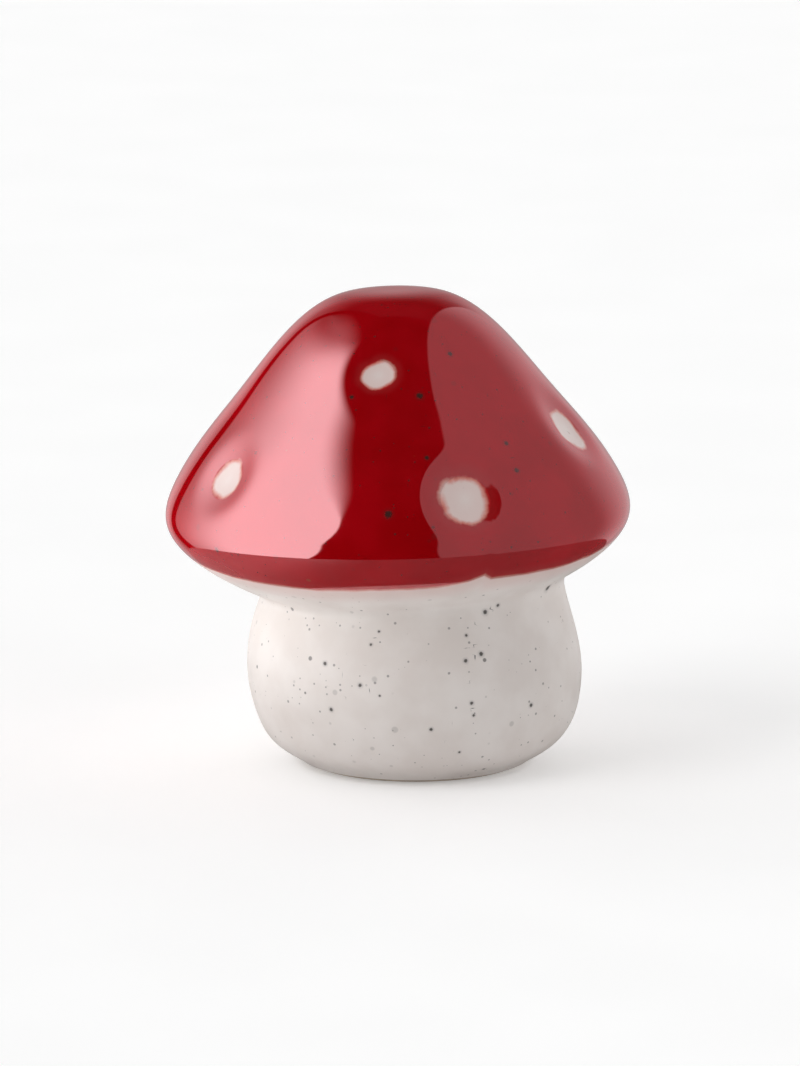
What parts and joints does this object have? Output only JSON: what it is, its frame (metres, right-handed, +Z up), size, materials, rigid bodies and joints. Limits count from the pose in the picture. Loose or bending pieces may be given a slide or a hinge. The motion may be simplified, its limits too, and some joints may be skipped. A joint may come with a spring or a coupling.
{
  "type": "mushroom ornament",
  "caption": "Hollow glazed stoneware mushroom: a domed red cap with pressed white spots, luted off-centre on a bulbous speckled white stem that stands on a flat foot ring.",
  "frame": {"origin": "centre of the foot ring, on the table, on the stem's axis", "axes": "+Z up, -Y towards the pictured front, +X to that view's right"},
  "size_m": [0.0702, 0.0702, 0.0723],
  "materials": {
    "stoneware": "bare fired clay, fine matt",
    "red_glaze": "high gloss transparent red",
    "clear_glaze": "high gloss clear over speckled white clay",
    "white_spot": "gloss white with a soft pink edge"
  },
  "bodies": {
    "root": {"cap_shell": "stoneware", "stem_shell": "stoneware", "joint_slip": "stoneware", "red_glaze": "red_glaze", "clear_glaze": "clear_glaze", "white_spot_1": "white_spot", "white_spot_2": "white_spot", "white_spot_3": "white_spot", "white_spot_4": "white_spot", "white_spot_5": "white_spot", "white_spot_6": "white_spot", "white_spot_7": "white_spot", "white_spot_8": "white_spot"}
  },
  "joints": []
}
